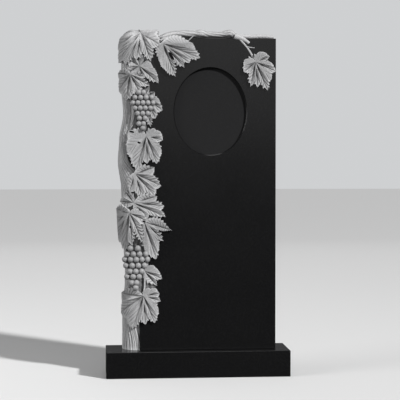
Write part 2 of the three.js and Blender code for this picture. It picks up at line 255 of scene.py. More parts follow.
# Trunk
# The left edge of the stone is carved as the vine's old trunk: a round column of bark strands that twist up
# the edge, worked with a point chisel and left unpolished, so the black granite shows pale grey. Its finish
# is a lighter copy of the leaves' finish, painted light for a column that turns away from the key.
TRUNK_LEFT = ((0, -287), (90, -286), (300, -275), (450, -284), (610, -289), (720, -302), (800, -297),
              (905, -281), (1000, -288), (1110, -289), (1187, -282))
TRUNK_SET_BACK = 9.0
TRUNK_ROUND_DEPTH = 78.0
TRUNK_HIDDEN = 26.0
TRUNK_SHORT_OF_BACK = 1.0
TRUNK_SQUARE = 0.8
TRUNK_TOP = 1176.0
TRUNK_DOME = 40.0
TRUNK_DOME_TAPER = 0.75
TRUNK_SEEN = (math.radians(-24), math.radians(150))
TRUNK_SEEN_SIDES = 132
TRUNK_HIDDEN_SIDES = 7
TRUNK_ALONG = 170
BARK_DEPTH = 1.1
BARK_LEVEL = 0.4
BARK_STRANDS = (29, 43)
BARK_END = math.radians(100)
BARK_FADE = math.radians(9)
FIBRE_DEPTH = 1.0
FIBRE_STRANDS = 71
TRUNK_TWIST = ((0, 0.0), (120, 0.25), (300, 0.5), (540, 0.8), (780, 2.2), (930, 2.5), (1187, 2.8))
STRAND_ROUNDNESS = 0.6
SLOW_WANDER = 1.1
SLOW_BENDS = 3.1
QUICK_WANDER = 0.7
QUICK_BENDS = 7.3
SAME_POINT = 0.002


def carved_granite(name, low, high, roughness):
    """The same granite, worked with the chisel: grey between two tones, with painted shade darkening its cut
    lines and a painted highlight lightening its crests.
    """
    material = bpy.data.materials.new(name)
    material.use_nodes = True
    nodes = material.node_tree.nodes
    wire = material.node_tree.links.new
    shader = nodes["Principled BSDF"]
    shader.inputs["Roughness"].default_value = roughness
    shader.inputs["Specular IOR Level"].default_value = 0.35
    grain = nodes.new("ShaderNodeGroup")
    grain.node_tree = GRAIN
    grain.inputs["Crystal Scale"].default_value = 620.0
    grain.inputs["Drift Scale"].default_value = 9.0
    grain.inputs["Fleck Share"].default_value = 0.1
    tone = nodes.new("ShaderNodeMix")
    tone.data_type = "RGBA"
    tone.inputs["A"].default_value = (low, low, low * 1.015, 1.0)
    tone.inputs["B"].default_value = (high, high, high * 1.01, 1.0)
    drift = nodes.new("ShaderNodeMapRange")
    drift.inputs["From Min"].default_value = 0.3
    drift.inputs["From Max"].default_value = 0.7
    drift.inputs["To Min"].default_value = 0.85
    drift.inputs["To Max"].default_value = 1.1
    drifted_tone = nodes.new("ShaderNodeMix")
    drifted_tone.data_type = "RGBA"
    drifted_tone.blend_type = "MULTIPLY"
    drifted_tone.inputs["Factor"].default_value = 1.0
    # Painted shade and highlight: the tone is darkened in cut lines and lightened on crests, by the marked
    # concavity.
    hollow = nodes.new("ShaderNodeAttribute")
    hollow.attribute_name = "hollow"
    dark = nodes.new("ShaderNodeMapRange")
    dark.inputs["From Min"].default_value = -0.08
    dark.inputs["From Max"].default_value = 0.14
    dark.inputs["To Min"].default_value = 1.25
    dark.inputs["To Max"].default_value = 0.2
    painted_crease_shade = nodes.new("ShaderNodeMix")
    painted_crease_shade.data_type = "RGBA"
    painted_crease_shade.blend_type = "MULTIPLY"
    painted_crease_shade.inputs["Factor"].default_value = 1.0
    bump = nodes.new("ShaderNodeBump")
    bump.inputs["Strength"].default_value = 0.4
    bump.inputs["Distance"].default_value = 0.0008
    wire(grain.outputs["Flecks"], tone.inputs["Factor"])
    wire(grain.outputs["Drift"], drift.inputs["Value"])
    wire(tone.outputs["Result"], drifted_tone.inputs["A"])
    wire(drift.outputs["Result"], drifted_tone.inputs["B"])
    wire(hollow.outputs["Fac"], dark.inputs["Value"])
    wire(drifted_tone.outputs["Result"], painted_crease_shade.inputs["A"])
    wire(dark.outputs["Result"], painted_crease_shade.inputs["B"])
    wire(painted_crease_shade.outputs["Result"], shader.inputs["Base Color"])
    wire(grain.outputs["Flecks"], bump.inputs["Height"])
    wire(bump.outputs["Normal"], shader.inputs["Normal"])
    return material


CARVED = carved_granite("carved_granite", 0.235, 0.34, 0.62)
# Painted light: the trunk's finish is a lighter copy of the carved finish, making up for the light it faces
# away from.
BARK_PAINTED_LIGHTER = carved_granite("bark_granite_painted_lighter", 0.27, 0.38, 0.62)


def carved_mesh(name, points, faces, finish):
    """Closed carved form from points in millimetres above the plinth, with shared corners merged and its
    faces turned outwards."""
    mesh = bpy.data.meshes.new(name)
    mesh.from_pydata(in_frame(points).tolist(), [], faces)
    mesh.materials.append(finish)
    form = bpy.data.objects.new(name, mesh)
    bpy.context.collection.objects.link(form)
    only(form)
    bpy.ops.object.mode_set(mode="EDIT")
    bpy.ops.mesh.select_all(action="SELECT")
    bpy.ops.mesh.remove_doubles(threshold=SAME_POINT * MM)
    bpy.ops.mesh.normals_make_consistent(inside=False)
    bpy.ops.object.mode_set(mode="OBJECT")
    shell = bmesh.new()
    shell.from_mesh(mesh)
    if shell.calc_volume(signed=True) < 0.0:
        mesh.flip_normals()
    shell.free()
    return form


def lofted(name, rings, finish):
    """Closed carved form through rings of points, flat at both ends."""
    steps, around = rings.shape[:2]
    faces = [tuple(range(around)), tuple(range((steps - 1) * around, steps * around))]
    for step in range(steps - 1):
        for side in range(around):
            beside = (side + 1) % around
            low = step * around
            faces.append((low + side, low + beside, low + around + beside, low + around + side))
    return carved_mesh(name, rings.reshape(-1, 3), faces, finish)


def strands(count, around, along):
    """Round strands with narrow grooves between them, from -1 in a groove to 1 on a crest."""
    slow = SLOW_WANDER * np.sin(2.0 * math.pi * SLOW_BENDS * along + count)
    quick = QUICK_WANDER * np.sin(2.0 * math.pi * QUICK_BENDS * along)
    phase = count * around + slow + quick
    return 2.0 * np.abs(np.cos(phase / 2.0)) ** STRAND_ROUNDNESS - 1.0


def trunk():
    """Round column on the left edge of the slab, with bark that fades out where it turns to the back."""
    start, end = TRUNK_SEEN
    seen = np.linspace(start, end, TRUNK_SEEN_SIDES)
    hidden = np.linspace(end, start + 2.0 * math.pi, TRUNK_HIDDEN_SIDES + 2)[1:-1]
    along, around = np.meshgrid(
        np.linspace(0.0, 1.0, TRUNK_ALONG), np.concatenate([seen, hidden]), indexing="ij")
    height = along * TRUNK_TOP
    right = between(TRUNK_RIGHT, height)
    left = right - between(TRUNK_LEFT, height)
    half_across = np.where(np.sin(around) > 0, left, TRUNK_HIDDEN)
    half_deep = np.where(np.cos(around) > 0, TRUNK_ROUND_DEPTH - TRUNK_SET_BACK, SLAB_BACK - SLAB_FRONT)
    turned = around - between(TRUNK_TWIST, height)
    bark = FIBRE_DEPTH * (strands(FIBRE_STRANDS, turned, along) - 1.0)
    for count in BARK_STRANDS:
        bark += BARK_DEPTH * (strands(count, turned, along) - BARK_LEVEL)
    bark *= np.clip((BARK_END - around) / BARK_FADE, 0.0, 1.0)
    near_top = np.maximum(0.0, height - TRUNK_TOP + TRUNK_DOME) / TRUNK_DOME
    size = np.sqrt(1.0 - TRUNK_DOME_TAPER * near_top ** 2)
    sideways = np.sign(np.sin(around)) * np.abs(np.sin(around)) ** TRUNK_SQUARE
    forwards = np.sign(np.cos(around)) * np.abs(np.cos(around)) ** TRUNK_SQUARE
    x = right - (half_across + bark) * sideways * size
    y = SLAB_FRONT + TRUNK_ROUND_DEPTH - (half_deep + bark) * forwards * size
    y = np.minimum(y, SLAB_BACK - TRUNK_SHORT_OF_BACK)
    return lofted("trunk", np.stack([x, y, height], axis=-1), BARK_PAINTED_LIGHTER)


carvings = [trunk()]


def join_stone(stone, others):
    """Joins other closed forms to a stone as one closed surface."""
    for other in others:
        apply_modifier(stone, "BOOLEAN", object=other, operation="UNION", solver="MANIFOLD",
                       material_mode="TRANSFER")
        bpy.data.objects.remove(other)


# Branch
# A branch runs from the trunk along the top edge of the stone, with knots, a thin runner, a cut side shoot
# and the stalk of the far leaf. It is carved in the round from the same stone, standing proud of the top.
# Every limb is a line of points as (across, height, half thickness).
TRUNK_HEAD = ((-266, 1160, 13), (-240, 1169, 19), (-190, 1173, 19), (-140, 1177, 15))
BRANCH = ((-176, 1148, 15), (-156, 1166, 17), (-132, 1183, 17.5), (-104, 1195, 17.5), (-66, 1202, 16.5),
          (-30, 1203, 15.5), (-6, 1203, 15.5), (12, 1204, 18.1), (30, 1202, 15), (52, 1201, 13),
          (90, 1201, 13), (110, 1204, 15.5), (127, 1205, 17), (142, 1200, 14), (154, 1194, 10),
          (168, 1190, 7))
RUNNER = ((140, 1198, 10), (200, 1193, 9), (245, 1195, 10), (292, 1192, 8))
SHOOT = ((140, 1194, 11), (172, 1184, 8), (196, 1169, 5.5))
STALK = ((158, 1186, 4), (192, 1146, 3.2), (219, 1100, 4.5))
TENDRIL = ((-18, 1194, 2), (-30, 1182, 1.8), (-38, 1174, 1.7), (-33, 1166, 1.6), (-22, 1168, 1.2))
FAR_TENDRIL = ((184, 1156, 2), (202, 1152, 1.8), (217, 1151, 1.2))
FOOT_STALK = ((-204, 304, 3), (-204, 270, 4), (-205, 240, 4.5), (-208, 208, 4))
SIDE_CANE = ((-264, 796, 4), (-251, 848, 8), (-243, 900, 9), (-240, 955, 9), (-238, 1005, 7))
KNOB = ((-281, 520, 2), (-281, 526, 10), (-282, 536, 13), (-283, 546, 10), (-283, 552, 2))
LIMB_STRANDS = 7
LIMB_TWIST = 6.0


def through(points, count):
    """Smooth line through rows of numbers."""
    rows = np.array(points, float)
    padded = np.vstack([2 * rows[0] - rows[1], rows, 2 * rows[-1] - rows[-2]])
    share = np.linspace(0.0, len(rows) - 1.0, count)
    first = np.minimum(share.astype(int), len(rows) - 2)
    step = (share - first)[:, None]
    a, b, c, d = (padded[first + n] for n in range(4))
    return 0.5 * (2 * b + (c - a) * step + (2 * a - 5 * b + 4 * c - d) * step ** 2
                  + (3 * b - a - 3 * c + d) * step ** 3)


def limb(name, points, depth, middle, sides, steps, groove):
    """Round limb along (across, height, half thickness) points, with bark grooves along it."""
    line = through(points, steps)
    ahead = np.gradient(line[:, :2], axis=0)
    ahead /= np.linalg.norm(ahead, axis=1, keepdims=True)
    along = np.linspace(0.0, 1.0, steps)[:, None]
    around = np.linspace(0.0, 2.0 * math.pi, sides, endpoint=False)[None, :]
    half = line[:, 2:3] + groove * (strands(LIMB_STRANDS, around + LIMB_TWIST * along, along) - 1.0)
    out = half * np.cos(around)
    x = line[:, 0:1] - ahead[:, 1:2] * out
    z = line[:, 1:2] + ahead[:, 0:1] * out
    y = middle + depth * half / line[:, 2].max() * np.sin(around)
    return lofted(name, np.stack([x, y, z], axis=-1), CARVED)


carvings.append(limb("trunk_head", TRUNK_HEAD, depth=42.0, middle=6.0, sides=28, steps=30, groove=0.9))
carvings.append(limb("branch", BRANCH, depth=31.0, middle=-22.0, sides=40, steps=110, groove=0.9))
carvings.append(limb("runner", RUNNER, depth=12.0, middle=-34.0, sides=20, steps=50, groove=0.5))
carvings.append(limb("shoot", SHOOT, depth=9.0, middle=-49.0, sides=20, steps=24, groove=0.4))
carvings.append(limb("stalk", STALK, depth=4.0, middle=-51.0, sides=14, steps=30, groove=0.2))
carvings.append(limb("tendril", TENDRIL, depth=3.0, middle=-50.5, sides=10, steps=30, groove=0.0))
carvings.append(limb("far_tendril", FAR_TENDRIL, depth=3.0, middle=-50.5, sides=10, steps=16, groove=0.0))
carvings.append(limb("foot_stalk", FOOT_STALK, depth=8.0, middle=-57.0, sides=16, steps=30, groove=0.4))
carvings.append(limb("side_cane", SIDE_CANE, depth=12.0, middle=-43.0, sides=28, steps=60, groove=0.9))
carvings.append(limb("knob", KNOB, depth=26.0, middle=-10.0, sides=24, steps=24, groove=0.4))

# Leaves
# Vine leaves in relief, cut from the same stone. Each is folded down along the main vein of every lobe, with
# side veins that run forward to the teeth of its edge, and its edge is undercut so that it throws a shadow.
TOP_ROUND_START = 1163.0
TOP_ROUND_RISE = 38.0
TOP_ROUND_RUN = 48.0
LEAF_LET_IN = 25.0
LEAF_UNDERCUT = 0.94
LEAF_FOLD = 7.0
LEAF_VEIN = 4.0
LEAF_FOLD_REACH = 26.0
LEAF_ARCH = 4.0
LEAF_EDGE_DROP = 0.6
LEAF_BULGE = 0.07
LEAF_END_BULGE = 0.42
LEAF_BELLY = 0.4
LEAF_PINCH = 0.7
LEAF_PINCH_NEAR_TIP = 5
LEAF_LEAST = 1.0
FOLD_ROUNDNESS = 1.2
VEIN_NARROWNESS = 5
TIP_FLATNESS = 8
EDGE_ROLL = 6
EDGE_FREE_RUN = 0.06
TOOTH_PITCH = 13.0
TOOTH_SIZE = 8.5
TOOTH_STEPS = np.array((0.0, 0.16, 0.32, 0.48, 0.62, 0.74))
TOOTH_LEAN = 2.5
TOOTH_FADE = 2.4
TOOTH_HOLLOW = 1.4
TEETH_LEAST = 2
TOOTH_FULL_EDGE = 38.0
RIB_DEPTH = 1.6
RIBS_A_TOOTH = 1.0
RIBS_INSIDE = 0.45
RIB_BREADTH = 0.6
RIB_SWELL = 0.8
RIB_AT_EDGE = 0.4
RIB_FULL_LOBE = 115.0
LESSER_SHARE = 0.95
LESSER_SPREAD = math.radians(36)
LESSER_START = 0.5
FOLD_RUN = 0.2
SHOULDER_NOTCH = 1.0
UNFOLDED = 1.0
VEIN_START = 0.55
VEIN_LAG = 2.2
NOTCH_SHARE = 0.95
NOTCH_SPREAD = 450.0
STALK_NOTCH = 0.1
STALK_GAP = 100.0
INNER_ROWS = 12
ROWS_ACROSS = 9
# Each leaf: its centre, the height of the carving at the centre and at the tips, and its lobes from the left
# round to the right as (angle from straight down, length, depth of the next notch when not the usual one).
LEAVES = {
    "corner": ((-216, 1203), 18.9, 15, (
        (-150, 78), (-104, 118), (-70, 128), (-43, 150), (-26, 134, 0.85), (-11, 104, 0.68), (19, 113),
        (57, 84), (112, 72), (165, 64))),
    "under_branch": ((-133, 1164), 14, 9, (
        (-14, 68, 1.45), (21, 134, 0.62), (42, 122, 0.78), (54, 123, 0.97), (69, 150, 1.1), (91, 113))),
    "far": ((220, 1097), 10, 8, (
        (-98, 46, 1.05), (-50, 60, 0.8), (-12, 97, 0.76), (4, 96, 0.82), (23, 117, 1.04), (44, 88, 0.86),
        (65, 84, 1.18), (87, 60, 0.66), (111, 56, 1.02), (135, 51, 1.1), (160, 41))),
    "shoulder": ((-222, 1079), 13, 8, (
        (-62, 62), (12, 52), (48, 97, 1.18), (72, 66, 1.09), (95, 47), (135, 55), (-170, 50), (-120, 48))),
    "elbow": ((-256, 1047), 17, 11, ((-96, 66), (-48, 92), (-12, 100), (27, 84, 0.7), (59, 83), (82, 52))),
    "upper_bunch_back": ((-202, 962), 7, 6, (
        (-8, 80), (11, 116), (26, 90), (53, 83, 1.16), (80, 55), (116, 42))),
    "waist": ((-196, 815), 13, 10, (
        (-106, 72, 1.0), (-56, 92, 1.1), (-17, 135, 0.88), (1, 104, 0.78), (20, 112, 1.17), (46, 80, 0.76),
        (76, 63, 1.07), (108, 55, 1.0), (135, 42))),
    "fork": ((-238, 672), 12, 9, ((-20, 74), (15, 90), (41, 112), (65, 108), (109, 77))),
    "knuckle": ((-244, 562), 13, 9, ((40, 80), (66, 133), (84, 116), (106, 92), (-140, 60), (-95, 66))),
    "broad": ((-204, 490), 14, 10, (
        (-30, 60), (0, 108, 1.17), (17, 148, 1.16), (31, 107, 0.8), (45, 104, 0.5), (72, 110))),
    "over_broad": ((-259, 524), 22, 16, (
        (-100, 78), (-62, 100), (-34, 132), (-9, 152, 0.88), (4, 124, 0.5), (23, 131, 0.8), (64, 72, 1.22),
        (95, 47))),
    "lower_bunch_back": ((-206, 304), 8, 7, (
        (41, 76, 0.72), (66, 75, 1.12), (90, 56, 1.08), (120, 42))),
    "foot": ((-208, 209), 13, 10, (
        (-93, 112), (-56, 128), (-18, 134, 0.83), (3.5, 109, 0.75), (22, 112, 1.2), (48, 76, 0.72), (73, 68),
        (98, 61, 1.0), (120, 56, 1.05), (150, 36))),
}


def drape(across, up, height):
    """Lays points on the stone: on the front face, round the left edge and over the top edge."""
    start = between(TRUNK_RIGHT, up)
    reach = start - between(TRUNK_LEFT, up)
    left = np.maximum(0.0, start - across)
    over = np.maximum(0.0, up - TOP_ROUND_START)
    gone = np.hypot(left, over)
    left_share = left / np.maximum(gone, 1e-9)
    over_share = over / np.maximum(gone, 1e-9)
    flat = gone == 0.0
    run = (reach + TRUNK_ROUND_DEPTH) / 2.0 * left_share ** 2 + TOP_ROUND_RUN * over_share ** 2
    run = np.where(flat, 1.0, run)
    turn = np.minimum(gone / run, math.pi / 2.0)
    straight = gone - turn * run
    depth = TRUNK_ROUND_DEPTH * left_share ** 2 + TOP_ROUND_RUN * over_share ** 2
    x = across + left - (reach + height) * np.sin(turn) * left_share
    y = SLAB_FRONT + depth * (1.0 - np.cos(turn)) - height * np.cos(turn) + straight
    z = np.minimum(up, TOP_ROUND_START) + (TOP_ROUND_RISE + height) * np.sin(turn) * over_share
    return np.stack([x, y, z], axis=-1)


def from_centre(angle, distance):
    """Plan place at an angle from straight down and a distance from a leaf's centre."""
    return np.array((math.sin(angle), -math.cos(angle))) * distance


def notch_share(spread):
    """Depth of the notch between two lobes, as a share of the shorter one."""
    degrees = math.degrees(spread)
    if degrees > STALK_GAP:
        return STALK_NOTCH
    return NOTCH_SHARE - degrees / NOTCH_SPREAD


def notch_beside(lobe, beside, turn, notch):
    """Plan place of the notch between two lobes, and whether it is the gap of the stalk."""
    spread = (turn * (beside[0] - lobe[0])) % (2.0 * math.pi)
    share = notch if notch else notch_share(spread)
    place = from_centre(lobe[0] + turn * spread / 2.0, share * min(lobe[1], beside[1]))
    return place, share == STALK_NOTCH


def half_lobe(tip, sinus, at_stalk, turn, teeth):
    """Plan of one side of a lobe: rows of points from the main vein to the edge, with the place along each
    row, the place across it, and the count of side veins passed."""
    run = tip - sinus
    reach = float(np.linalg.norm(run))
    ahead = run / reach
    outward = np.array((run[1], -run[0])) / reach * -turn
    swell = LEAF_END_BULGE if at_stalk else LEAF_BULGE
    middle = sinus + run * LEAF_BELLY + outward * swell * reach
    inner = np.linspace(0.0, VEIN_START, INNER_ROWS, endpoint=False)
    along = np.append(np.add.outer(np.arange(teeth), TOOTH_STEPS).ravel() / teeth, 1.0)
    outer = VEIN_START + (1.0 - VEIN_START) * along
    saw = np.append(np.tile((TOOTH_STEPS / TOOTH_STEPS[-1]) ** TOOTH_HOLLOW, teeth), 0.0)
    saw = saw * np.minimum(1.0, TOOTH_FADE * along) * np.minimum(1.0, TOOTH_FADE * (1.0 - along))
    saw = saw * min(1.0, reach / teeth / TOOTH_PITCH) * min(1.0, reach / TOOTH_FULL_EDGE)
    curve = (np.outer((1 - along) ** 2, sinus) + np.outer(2 * along * (1 - along), middle)
             + np.outer(along ** 2, tip))
    pinch = LEAF_PINCH * reach * along ** LEAF_PINCH_NEAR_TIP * (1 - along)
    curve = curve - np.outer(pinch, outward)
    edge = curve + np.outer(saw * TOOTH_SIZE, outward) + np.outer(saw * TOOTH_LEAN, ahead)
    side = np.vstack([np.outer(inner / VEIN_START, sinus), edge])
    down = np.concatenate([inner, outer])
    vein = np.outer(down ** VEIN_LAG, tip)
    across = np.linspace(0.0, 1.0, ROWS_ACROSS)
    plan = vein[:, None, :] + (side - vein)[:, None, :] * across[None, :, None]
    passed_inside = (inner - VEIN_START) / (1.0 - VEIN_START) * teeth * RIBS_INSIDE
    passed = np.concatenate([passed_inside, along * teeth])
    return plan, down[:, None], across[None, :], passed[:, None] + 1.0 - TOOTH_STEPS[-1]


def fold_start(around, notches, index):
    """Share of a lobe's length where the fold along its vein starts. A lesser lobe close to a longer one
    folds late, and a mere shoulder of a longer one not at all."""
    angle, length = around[index]
    before = (index - 1) % len(around)
    after = (index + 1) % len(around)
    start = 0.0
    for turn, other in ((1, after), (-1, before)):
        gap = (turn * (around[other][0] - angle)) % (2.0 * math.pi)
        if gap < LESSER_SPREAD and length < LESSER_SHARE * around[other][1]:
            start = LESSER_START
    for notch, other in ((notches[index], after), (notches[before], before)):
        if notch and notch >= SHOULDER_NOTCH and around[other][1] > length:
            start = UNFOLDED
    return start


def lobe_relief(out, down, across, passed, start, length):
    """How far half a lobe lies below the leaf's smooth crown: its fold, vein, side veins and rolled edge."""
    free = np.clip((down - VEIN_START) / EDGE_FREE_RUN, 0.0, 1.0)
    fades = np.minimum(1.0, out / LEAF_FOLD_REACH) * (1.0 - down ** TIP_FLATNESS)
    fold = LEAF_FOLD * (1.0 - across) ** FOLD_ROUNDNESS + LEAF_VEIN * (1.0 - across) ** VEIN_NARROWNESS
    fold = fold * fades * np.clip((down - start) / FOLD_RUN, 0.0, 1.0)
    rib = 1.0 - np.abs(np.sin(math.pi * RIBS_A_TOOTH * passed)) ** RIB_BREADTH
    rib = rib * (np.sin(math.pi * across) ** RIB_SWELL + RIB_AT_EDGE * across ** 2 * free)
    rib = rib * fades * RIB_DEPTH * min(1.0, length / RIB_FULL_LOBE)
    return fold + rib + LEAF_EDGE_DROP * across ** EDGE_ROLL * free


def leaf(name, at, centre, tips, lobes):
    """Leaf of toothed lobes round a centre, crowned and folded, with an undercut edge let into the stone."""
    around = [(math.radians(lobe[0]), lobe[1]) for lobe in lobes]
    notches = [lobe[2] if len(lobe) > 2 else None for lobe in lobes]
    size = max(length for _, length in around)
    points = []
    faces = []
    bottom = drape(np.array(at[0], float), np.array(at[1], float), -LEAF_LET_IN)
    for index, lobe in enumerate(around):
        start = fold_start(around, notches, index)
        before = (index - 1) % len(around)
        after = (index + 1) % len(around)
        tip = from_centre(*lobe)
        sides = {1: notch_beside(lobe, around[after], 1, notches[index]),
                 -1: notch_beside(lobe, around[before], -1, notches[before])}
        longest = max(float(np.linalg.norm(tip - sinus)) for sinus, _ in sides.values())
        teeth = max(TEETH_LEAST, round(longest / TOOTH_PITCH))
        for turn, (sinus, at_stalk) in sides.items():
            plan, down, across, passed = half_lobe(tip, sinus, at_stalk, turn, teeth)
            out = np.linalg.norm(plan, axis=-1)
            crown = centre + (tips - centre) * out / size + LEAF_ARCH * np.sin(math.pi * out / size)
            height = np.maximum(crown - lobe_relief(out, down, across, passed, start, lobe[1]), LEAF_LEAST)
            top = drape(at[0] + plan[..., 0], at[1] + plan[..., 1], height)
            rim = plan[INNER_ROWS:, -1]
            foot = drape(at[0] + rim[:, 0] * LEAF_UNDERCUT, at[1] + rim[:, 1] * LEAF_UNDERCUT, -LEAF_LET_IN)
            first = len(points)
            rows, columns = plan.shape[:2]
            points.extend(top.reshape(-1, 3))
            for row in range(rows - 1):
                for column in range(columns - 1):
                    corner = first + row * columns + column
                    faces.append((corner, corner + 1, corner + columns + 1, corner + columns)[::turn])
            low = len(points)
            points.extend(foot)
            hub = len(points)
            points.append(bottom)
            for row in range(len(foot) - 1):
                edge = first + (INNER_ROWS + row) * columns + columns - 1
                faces.append((edge, low + row, low + row + 1, edge + columns)[::turn])
                faces.append((low + row, hub, low + row + 1)[::turn])
    return carved_mesh("leaf_" + name, np.array(points), faces, CARVED)


for leaf_name, leaf_sizes in LEAVES.items():
    carvings.append(leaf(leaf_name, *leaf_sizes))

# Carved ground
# Between the leaves the stone is cut back to a rough ground a little above the polished face. It is worked
# with a point, and its finish is a darker copy of the leaves' finish, painted shade for the shade it lies
# in.
# Its right border is given by height.
GROUND_RIGHT = ((170, -222), (215, -190), (240, -161), (253, -161), (268, -186), (300, -180), (340, -190),
                (395, -185), (450, -152), (520, -165), (560, -172), (600, -190), (640, -192), (676, -190),
                (700, -262), (722, -276), (760, -276), (786, -250), (806, -190), (840, -196), (920, -190),
                (960, -182), (1040, -185), (1080, -182), (1110, -178), (1150, -180), (1180, -192))
GROUND_LEAST = 0.8
GROUND_PROUD = 2.5
GROUND_ROUGH = 0.9
GROUND_FADE = 6
GROUND_UNDER_TRUNK = 1.0
CHISEL_ACROSS = 0.31
CHISEL_WANDER = 0.9
CHISEL_BENDS = 0.07
CHISEL_UP = 0.23
CHISEL_SLANT = 0.17
GROUND_LET_IN = 20.0
GROUND_STEPS = 130
GROUND_ACROSS = 14
# Painted shade: the ground's finish is a darker copy of the carved finish, for the shade between the leaves.
GROUND_PAINTED_SHADE = carved_granite("ground_granite_painted_shade", 0.11, 0.17, 0.7)


def ground():
    """Strip of rough stone from the trunk to the right border, proud of the face and let into it."""
    height = np.linspace(GROUND_RIGHT[0][0], GROUND_RIGHT[-1][0], GROUND_STEPS)[:, None]
    share = np.linspace(0.0, 1.0, GROUND_ACROSS)[None, :]
    left = between(TRUNK_RIGHT, height) - GROUND_UNDER_TRUNK
    x = left + np.maximum(between(GROUND_RIGHT, height) - left, GROUND_LEAST) * share
    upright = np.sin(CHISEL_ACROSS * x + CHISEL_WANDER * np.sin(CHISEL_BENDS * height))
    slanted = np.sin(CHISEL_UP * height + CHISEL_SLANT * x)
    y = SLAB_FRONT - (GROUND_PROUD + GROUND_ROUGH * (upright + slanted)) * (1.0 - share ** GROUND_FADE)
    front = np.stack([x, y, np.broadcast_to(height, x.shape)], axis=-1)
    back = front[:, ::-1].copy()
    back[..., 1] = SLAB_FRONT + GROUND_LET_IN
    return lofted("ground", np.concatenate([front, back], axis=1), GROUND_PAINTED_SHADE)


carvings.append(ground())

# Grapes
# Two bunches of round grapes hang between the leaves, each grape rounded off and smoothed but not polished.
# A bunch stands out most along its middle.
GRAPE_SEGMENTS = 20
GRAPE_RINGS = 12
GRAPE_TALL = 1.06
GRAPE_EDGE = 7.0
GRAPE_BULGE = 13.0
GRAPE_LET_IN = 2.2
GRAPE_DRAPE = 0.35
RUBBED = carved_granite("rubbed_granite", 0.165, 0.215, 0.48)
# Bunches as (middle across, half width, grape radius, rows), and each row as (height, first grape across,
# count, pitch).
BUNCHES = (
    (-209, 46, 9.9, ((979, -225, 2, 18), (960, -239, 4, 20.6), (940, -247, 5, 18.7), (920, -239, 4, 19),
                     (900, -230, 3, 19.2), (882, -223, 2, 21), (861, -225, 2, 17), (845, -210, 1, 0))),
    (-236, 50, 11.3, ((390, -258, 2, 28), (368, -270, 4, 23.3), (348, -278, 5, 21), (325, -274, 4, 23),
                      (303, -259, 3, 21.7), (283, -270, 3, 22.5), (260, -253, 2, 18), (242, -238, 1, 0))),
)

bpy.ops.object.select_all(action="DESELECT")
bpy.ops.mesh.primitive_uv_sphere_add(
    segments=GRAPE_SEGMENTS, ring_count=GRAPE_RINGS, radius=1.0, rotation=(math.pi / 2, 0, 0))
bpy.ops.object.transform_apply(location=False, rotation=True, scale=False)
ball = bpy.context.object
ball.data.materials.append(RUBBED)
round_grape = np.array([vertex.co for vertex in ball.data.vertices])
UPPER_BED = ((-214, 990, 10), (-213, 962, 34), (-209, 938, 38), (-209, 905, 30), (-211, 872, 19),
             (-210, 842, 8))
LOWER_BED = ((-244, 400, 12), (-240, 372, 40), (-237, 348, 45), (-240, 322, 39), (-241, 292, 32),
             (-247, 262, 20), (-238, 238, 8))
carvings.append(limb("upper_bed", UPPER_BED, depth=24.0, middle=-36.0, sides=28, steps=40, groove=0.6))
carvings.append(limb("lower_bed", LOWER_BED, depth=34.0, middle=-27.0, sides=28, steps=40, groove=0.6))
for middle, half_width, radius, rows in BUNCHES:
    grapes = []
    for height, first, count, pitch in rows:
        for number in range(count):
            across = first + number * pitch
            off_middle = min(1.0, abs(across - middle) / half_width)
            standing = GRAPE_EDGE + GRAPE_BULGE * (1.0 - off_middle ** 2)
            deep = np.where(round_grape[:, 1] > 0, GRAPE_LET_IN * radius, radius)
            wide = np.full_like(deep, radius)
            reach = np.stack([wide, deep, wide * GRAPE_TALL], axis=-1)
            flat_depth = SLAB_FRONT - standing
            draped_depth = drape(np.array(across, float), np.array(height, float), standing)[1]
            place = np.array((across, flat_depth + GRAPE_DRAPE * (draped_depth - flat_depth), height))
            grape = ball.copy()
            grape.data = ball.data.copy()
            grape.name = "grape"
            bpy.context.collection.objects.link(grape)
            grape.data.vertices.foreach_set("co", in_frame(round_grape * reach + place).ravel())
            grapes.append(grape)
    join_stone(grapes[0], grapes[1:])
    carvings.append(grapes[0])
bpy.data.objects.remove(ball)

# Drilled eyes
# The slab and its carvings are one stone, so they are joined into one closed surface. Between some lobes the
# carver drilled a deep eye, to set the edges free. Each eye is given as (across, height, half length, half
# width, lean in degrees from straight down).
EYES = ((-102, 1117, 18, 6, 32), (-258, 471, 5, 3.6, 10), (-206, 492, 7, 4, 70), (-224, 790, 7, 4, 75),
        (-252, 831, 10, 4, 78), (-273, 232, 7, 3.5, 75))
EYE_BOTTOM = -49.0
EYE_DEPTH = 45.0
EYE_SIDES = 20
join_stone(stele, carvings)
for across, up, half_long, half_wide, lean in EYES:
    bpy.ops.object.select_all(action="DESELECT")
    bpy.ops.mesh.primitive_cylinder_add(
        vertices=EYE_SIDES, radius=1.0, depth=1.0, rotation=(math.pi / 2, -math.radians(lean), 0),
        location=in_frame((across, EYE_BOTTOM - EYE_DEPTH / 2, up)))
    # The walls of each eye take the ground's darker finish, painted shade for the dark inside the hole.
    cut_away(stele, bpy.context.object, (half_wide, half_long, EYE_DEPTH), GROUND_PAINTED_SHADE)

# The whole stele
# One stone, polished on its flat faces and left rough from the chisel on the vine, with painted shade in the
# cut lines and painted highlights on the crests. It stands on the plinth on its own flat foot.
CARVED_CREASE = math.radians(38)
HOLLOW_SPREADS = 2


